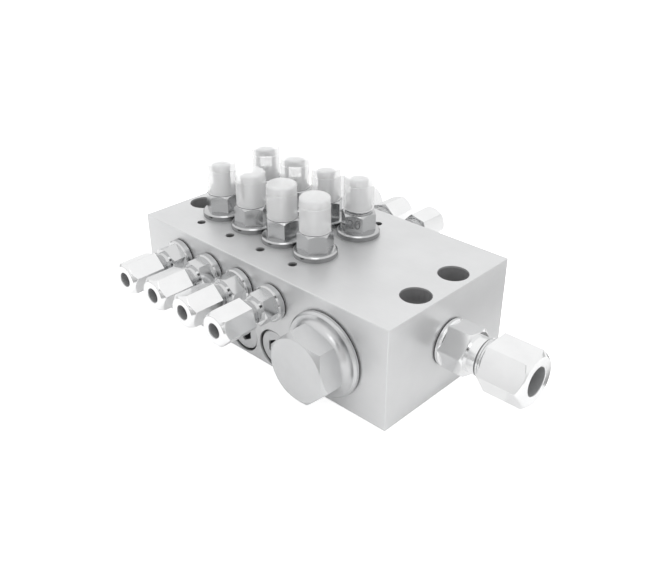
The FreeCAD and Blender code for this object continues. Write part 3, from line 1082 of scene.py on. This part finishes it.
@dataclass
class OutletRows:
    """The eight outlet fittings on the long faces."""

    height: float = 34.5
    union_turns: dict[str, float] = field(default_factory=lambda: {
        "f1": 25, "f2": 57, "f3": 15, "f4": 52, "b1": 8, "b2": 33, "b3": 21, "b4": 47})
    nut_turns: dict[str, float] = field(default_factory=lambda: {
        "f1": 18, "f2": 11, "f3": 17, "f4": 46, "b1": 29, "b2": 5, "b3": 40, "b4": 13})

    def fitting(self, station: Station) -> TubeFitting:
        """The fitting of one station.

        Args:
            station: The station.

        Returns:
            Its fitting, set on the block's face.
        """
        sign = station.side.value
        face = on_axis("outlet_nut_" + station.name, self.height)
        face.y = sign * BLOCK.depth / 2 * METRES
        return TubeFitting(OUTLET, face, Vector((0, sign, 0)), self.union_turns[station.name],
                           self.nut_turns[station.name])

    def build(self, finishes: Finishes) -> list[Mesh]:
        """Build the unions and nuts of both rows.

        Args:
            finishes: The materials.

        Returns:
            The meshes of the sealing rings.
        """
        seals = []
        for side in Side:
            label = side.name.lower()
            row = {station.name: self.fitting(station) for station in STATIONS
                   if station.side is side}
            unions = joined([fitting.union() for fitting in row.values()])
            piece(label + "_unions", unions, BODY, [label + "_outlet_unions"], "fitting_zinc",
                  finishes.union, finishes.thread_root)
            for name, fitting in row.items():
                piece("nut_" + name, fitting.nut(), "nut_" + name, ["outlet_nut_" + name],
                      "fitting_zinc", finishes.zinc, finishes.tube_hole)
                seals.append(fitting.seal())
        return seals


@dataclass
class InletFitting:
    """The larger fitting on the block's right-hand end."""

    height: float = 24.0
    union_turn: float = 22.0
    nut_turn: float = 32.0

    def build(self, finishes: Finishes) -> Mesh:
        """Build the union and the nut.

        Args:
            finishes: The materials.

        Returns:
            The mesh of the sealing ring.
        """
        face = Vector((BLOCK.length / 2 * METRES, 0, self.height * METRES))
        fitting = TubeFitting(INLET, face, Vector((1, 0, 0)), self.union_turn, self.nut_turn)
        piece("inlet_union_body", fitting.union(), BODY, ["inlet_union"], "fitting_zinc",
              finishes.zinc, finishes.thread_root)
        piece("inlet_union_nut", fitting.nut(), "inlet_nut_body", ["inlet_nut"], "fitting_zinc",
              finishes.zinc, finishes.tube_hole)
        return fitting.seal()


@dataclass
class MainPlugs:
    """The two large screw plugs and the rings that seal them."""

    x: float = 42.5
    height: float = 22.5
    thread_radius: float = 16.6
    thread_length: float = 13.0
    thread_bevel: float = 1.0
    core_radius: float = 11.0
    core_rounding: float = 0.16
    seal_radius: float = 18.9
    seal_thickness: float = 0.7
    seal_rounding: float = 0.3
    flange_radius: float = 19.2
    flange_length: float = 1.4
    flange_bevel: float = 0.9
    shelf_radius: float = 17.4
    neck_radius: float = 14.3
    neck_length: float = 3.6
    hex_across: float = 28.6
    hex_length: float = 10.5
    hex_chamfer: float = 2.0
    hex_foot: float = 1.0
    hex_rounding: float = 0.28
    face_radius: float = 13.9
    turn: float = 44.5

    def plug(self) -> Mesh:
        """Plug with thread, bevelled flange, waisted neck and hexagon.

        Returns:
            The mesh on Z.
        """
        seat = self.seal_thickness
        tip = -self.thread_length
        bevel_start = seat + self.flange_length
        shelf = bevel_start + self.flange_bevel
        neck_top = shelf + self.neck_length
        width = self.shelf_radius - self.neck_radius
        hollow = [(self.shelf_radius - width * sin(a), neck_top - self.neck_length * cos(a))
                  for a in angles(15, 7)]
        core = turned([
            (0, seat), (self.core_radius, seat), (self.core_radius, tip),
            (self.thread_radius - self.thread_bevel, tip),
            (self.thread_radius, tip + self.thread_bevel), (self.thread_radius, seat),
            (self.flange_radius, seat), (self.flange_radius, bevel_start),
            (self.flange_radius - self.flange_bevel, shelf)] + hollow
            + [(self.neck_radius, neck_top + OVERLAP), (0, neck_top + OVERLAP)],
            FINE_STEPS)
        blank = spanner_blank(self.hex_across, neck_top, neck_top + self.hex_length,
                              self.face_radius, self.hex_chamfer, self.hex_foot)
        hexagon = milled(turned(blank, FINE_STEPS), self.hex_across, self.turn)
        return joined([softened(core, self.core_rounding), softened(hexagon, self.hex_rounding)])

    def ring(self) -> Mesh:
        """Thin sealing ring under the flange."""
        return washer(self.thread_radius + PLAY, self.seal_radius, self.seal_thickness,
                      self.seal_rounding, 3, FINE_STEPS)

    def build(self, finishes: Finishes) -> None:
        """Build both plugs and both rings.

        Args:
            finishes: The materials.
        """
        plugs, rings = [], []
        for side in Side:
            face = Vector((self.x, side.value * BLOCK.depth / 2, self.height)) * METRES
            out = Vector((0, side.value, 0))
            plugs.append(set_on(self.plug(), face, out))
            rings.append(set_on(self.ring(), face, out))
        piece("large_plugs", joined(plugs), BODY, ["main_plugs"], "main_plug_steel", finishes.plug)
        piece("large_plug_rings", joined(rings), BODY, ["main_plug_seals"], "seal_rubber",
              finishes.rubber)


@dataclass
class EngravedNumber:
    """A plain number cut into a flat of a cartridge's hexagon."""

    text: str
    station: str
    face_angle: float
    flat_distance: float = 7.0
    height_over_block: float = 7.0
    size: float = 6.2
    depth: float = 0.05
    proud: float = 0.01

    def build(self, finishes: Finishes) -> None:
        """Build the figures as a thin flat piece on the hexagon.

        Args:
            finishes: The materials.
        """
        curve = bpy.data.curves.new("number_" + self.station, "FONT")
        curve.body = self.text
        curve.size = self.size
        curve.extrude = self.depth
        curve.align_x = "CENTER"
        curve.align_y = "CENTER"
        holder = bpy.data.objects.new("number_carrier", curve)
        bpy.context.scene.collection.objects.link(holder)
        data = bpy.data.meshes.new_from_object(holder)
        bpy.data.objects.remove(holder)
        mesh = bmesh.new()
        mesh.from_mesh(data)
        bpy.data.meshes.remove(data)
        bmesh.ops.remove_doubles(mesh, verts=mesh.verts[:], dist=MERGE_DISTANCE)
        bmesh.ops.recalc_face_normals(mesh, faces=mesh.faces[:])
        mesh.transform(Matrix.Rotation(radians(90), 4, "X"))
        mesh.transform(Matrix.Translation((0, self.depth - self.flat_distance - self.proud, 0)))
        mesh.transform(Matrix.Rotation(radians(self.face_angle + 90), 4, "Z"))
        at = on_axis("cartridge_body_" + self.station, BLOCK.height + self.height_over_block)
        piece("number_" + self.station, set_on(mesh, at), BODY, [], "cartridge_metal",
              finishes.engraving)


# Model


@dataclass
class Distributor:
    """The whole object: carried-over nodes and the pieces built round them."""

    frame: dict
    finishes: Finishes
    hex_turns: dict[str, float] = field(default_factory=lambda: {
        "f1": -25, "f2": -5, "f3": 22, "f4": -7, "b1": 12, "b2": 38, "b3": 4, "b4": 25})
    window_turns: dict[str, float] = field(default_factory=lambda: {
        "f1": 45, "f2": 62, "f3": 12, "f4": 45, "b1": -45, "b2": -45, "b3": 45, "b4": 40})
    collar_rise: float = 0.3
    long_collars: dict[str, float] = field(default_factory=lambda: {"b4": 1.9})

    def dress_nodes(self) -> None:
        """Give every carried-over node its own finish."""
        finishes = self.finishes
        by_start = {
            "block": finishes.block, "cartridge_body": finishes.cartridge,
            "metering_piston": finishes.steel, "piston_spring": finishes.spring,
            "clear_cap": finishes.plastic, "cup_valves": finishes.rubber,
            "cartridge_seals": finishes.rubber, "fitting_seals": finishes.rubber,
            "main_plug_seals": finishes.rubber, "main_plugs": finishes.plug,
            "flush_plugs": finishes.sunk_plug}
        for name, node in self.frame["nodes"].items():
            start = next((key for key in by_start if name.startswith(key)), None)
            node.data.materials.clear()
            node.data.materials.append(by_start.get(start, finishes.zinc))

    def build(self) -> None:
        """Build the sub-assemblies in order and report each."""
        finishes = self.finishes
        self.dress_nodes()
        log.info("dressed %d nodes", len(self.frame["nodes"]))
        for station in STATIONS:
            name = station.name
            rise = self.long_collars.get(name, self.collar_rise)
            MeteringCartridge(station, self.hex_turns[name], self.window_turns[name],
                              rise).build(finishes)
            ReturnSpring(station).build(finishes)
            log.info("built cartridge %s", name)
        EngravedNumber("20", "b4", face_angle=-65.0).build(finishes)
        seals = OutletRows().build(finishes)
        log.info("built outlet rows")
        seals.append(InletFitting().build(finishes))
        log.info("built inlet fitting")
        piece("fitting_rings", joined(seals), BODY, ["fitting_seals"], "seal_rubber",
              finishes.rubber)
        MainPlugs().build(finishes)
        log.info("built large plugs")


# Studio, in metres


def sheet(name: str, finish: Material, transform: Matrix) -> Object:
    """Flat rectangle, made from a square of two metres a side.

    Args:
        name: The object's name.
        finish: Its material.
        transform: What brings the square to its size and place.

    Returns:
        The object.
    """
    mesh = bmesh.new()
    bmesh.ops.create_grid(mesh, x_segments=1, y_segments=1, size=1.0)
    mesh.transform(transform)
    return set_out(name, mesh, finish)


@dataclass(frozen=True)
class Lamp:
    """Square soft lamp that faces a point, and that the metal mirrors or doesn't."""

    name: str
    at: Point
    aim: Point
    size: float
    power: float
    mirrored: bool = False

    def build(self) -> None:
        """Set up the lamp."""
        data = bpy.data.lights.new(self.name, "AREA")
        data.size = self.size
        data.energy = self.power
        lamp = bpy.data.objects.new(self.name, data)
        bpy.context.scene.collection.objects.link(lamp)
        lamp.location = self.at
        lamp.visible_glossy = self.mirrored
        toward = Vector(self.aim) - Vector(self.at)
        lamp.rotation_euler = toward.to_track_quat("-Z", "Y").to_euler()


@dataclass(frozen=True)
class Card:
    """Grey card that only the metal's reflections see.

    It is turned in degrees from the front towards the right. Its place says how far its middle
    lies to the right of that direction and along it. A tone of 1 is white.
    """

    name: str
    turn: float
    place: tuple[float, float]
    half_size: tuple[float, float]
    height: float
    tone: float
    stands: bool = False

    def build(self) -> None:
        """Set up the card."""
        nodes = NodeTree(self.name + "_paper")
        paper = nodes.add("ShaderNodeEmission", Strength=self.tone)
        card = sheet(self.name, nodes.finished(paper),
                     Matrix.Rotation(radians(self.turn), 4, "Z")
                     @ Matrix.Translation((self.place[0], -self.place[1], self.height))
                     @ Matrix.Rotation(radians(90 if self.stands else 0), 4, "X")
                     @ Matrix.Diagonal((*self.half_size, 1, 1)))
        card.visible_camera = False
        card.visible_diffuse = False
        card.visible_shadow = False
        card.visible_transmission = False


@dataclass(frozen=True)
class Camera:
    """Camera at the photograph's angle, fitted to the block's edges."""

    lens: float = 44.4027
    sensor: float = 36.0
    nearest: float = 0.01
    place: Point = (0.235361, -0.241138, 0.211645)
    turn: tuple[float, float, float, float] = (0.8030477, 0.4689093, 0.18388, 0.3184754)

    def build(self) -> None:
        """Set up the camera and the plain view of its picture."""
        data = bpy.data.cameras.new("camera")
        data.lens = self.lens
        data.sensor_width = self.sensor
        data.clip_start = self.nearest
        camera = bpy.data.objects.new("camera", data)
        bpy.context.scene.collection.objects.link(camera)
        camera.location = self.place
        camera.rotation_mode = "QUATERNION"
        camera.rotation_quaternion = Quaternion(self.turn)
        bpy.context.scene.camera = camera
        bpy.context.scene.view_settings.view_transform = "Standard"


LAMPS = (
    Lamp("top_softbox", at=(0.0, 0.0, 0.95), aim=(0.0, 0.0, 0.0), size=1.3, power=2.6),
    Lamp("left_softbox", at=(-1.1, -0.15, 0.5), aim=(0.0, 0.0, 0.03), size=0.8, power=1.2),
    Lamp("edge_softbox", at=(0.36, -0.39, 0.85), aim=(0.0, 0.0, 0.03), size=0.45, power=0.6,
         mirrored=True),
)
LOW_WALLS = tuple(
    Card("low_wall_" + str(turn), turn, place=(0, 0.9), half_size=(0.9, height), height=height,
         tone=tone, stands=True)
    for turn, height, tone in ((0, 0.14, 0.6), (90, 0.14, 0.75), (180, 0.08, 0.5), (270, 0.1, 0.6)))
CARDS = LOW_WALLS + (
    Card("front_floor_card", 0, place=(0, 0.42), half_size=(0.9, 0.24), height=0.0005, tone=0.35),
    Card("right_floor_card", 90, place=(0.09, 0.116), half_size=(0.06, 0.016), height=0.0006,
         tone=0.25),
    Card("camera_side_card", 43, place=(0, 0.9), half_size=(0.42, 0.18), height=0.64, tone=0.02,
         stands=True),
    Card("end_floor_card", 90, place=(0.015, 0.09), half_size=(0.055, 0.012), height=0.0008,
         tone=0.9),
)


@dataclass
class Studio:
    """Pale floor, soft lamps, grey cards, white surroundings and the camera."""

    floor_size: float = 6.0
    floor_drop: float = 0.0002
    floor_grey: float = 0.85
    floor_lift: float = 0.65
    mirrored_lift: float = 0.1

    def build(self) -> None:
        """Set everything round the object."""
        self.floor()
        self.surroundings()
        for thing in LAMPS + CARDS + (Camera(),):
            thing.build()

    def floor(self) -> None:
        """Plain pale floor that shows white but keeps the object's soft shadow."""
        nodes = NodeTree("pale_floor")
        diffuse = nodes.add("ShaderNodeBsdfDiffuse", Color=(*[self.floor_grey] * 3, 1))
        path = nodes.add("ShaderNodeLightPath").outputs
        indirect = nodes.compute("ADD", path["Is Glossy Ray"], path["Is Transmission Ray"])
        mirrored = nodes.compute("MULTIPLY", indirect, self.mirrored_lift)
        lift = nodes.compute("MULTIPLY_ADD", path["Is Camera Ray"], self.floor_lift, mirrored)
        glow = nodes.add("ShaderNodeEmission", Strength=lift)
        both = nodes.add("ShaderNodeAddShader", diffuse.outputs[0], glow.outputs[0])
        floor = sheet("floor", nodes.finished(both), Matrix.Scale(self.floor_size, 4))
        floor.location.z = -self.floor_drop

    @staticmethod
    def surroundings() -> None:
        """Plain white surroundings."""
        world = bpy.data.worlds.new("surroundings")
        bpy.context.scene.world = world
        world.use_nodes = True
        background = world.node_tree.nodes["Background"]
        background.inputs["Color"].default_value = (1, 1, 1, 1)
        background.inputs["Strength"].default_value = 1.0


def main() -> None:
    """Load the model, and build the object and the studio."""
    logging.basicConfig(level=logging.INFO, format="%(name)s: %(message)s")
    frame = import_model()
    Distributor(frame, Finishes.made()).build()
    Studio().build()


if __name__ == "__main__":
    main()
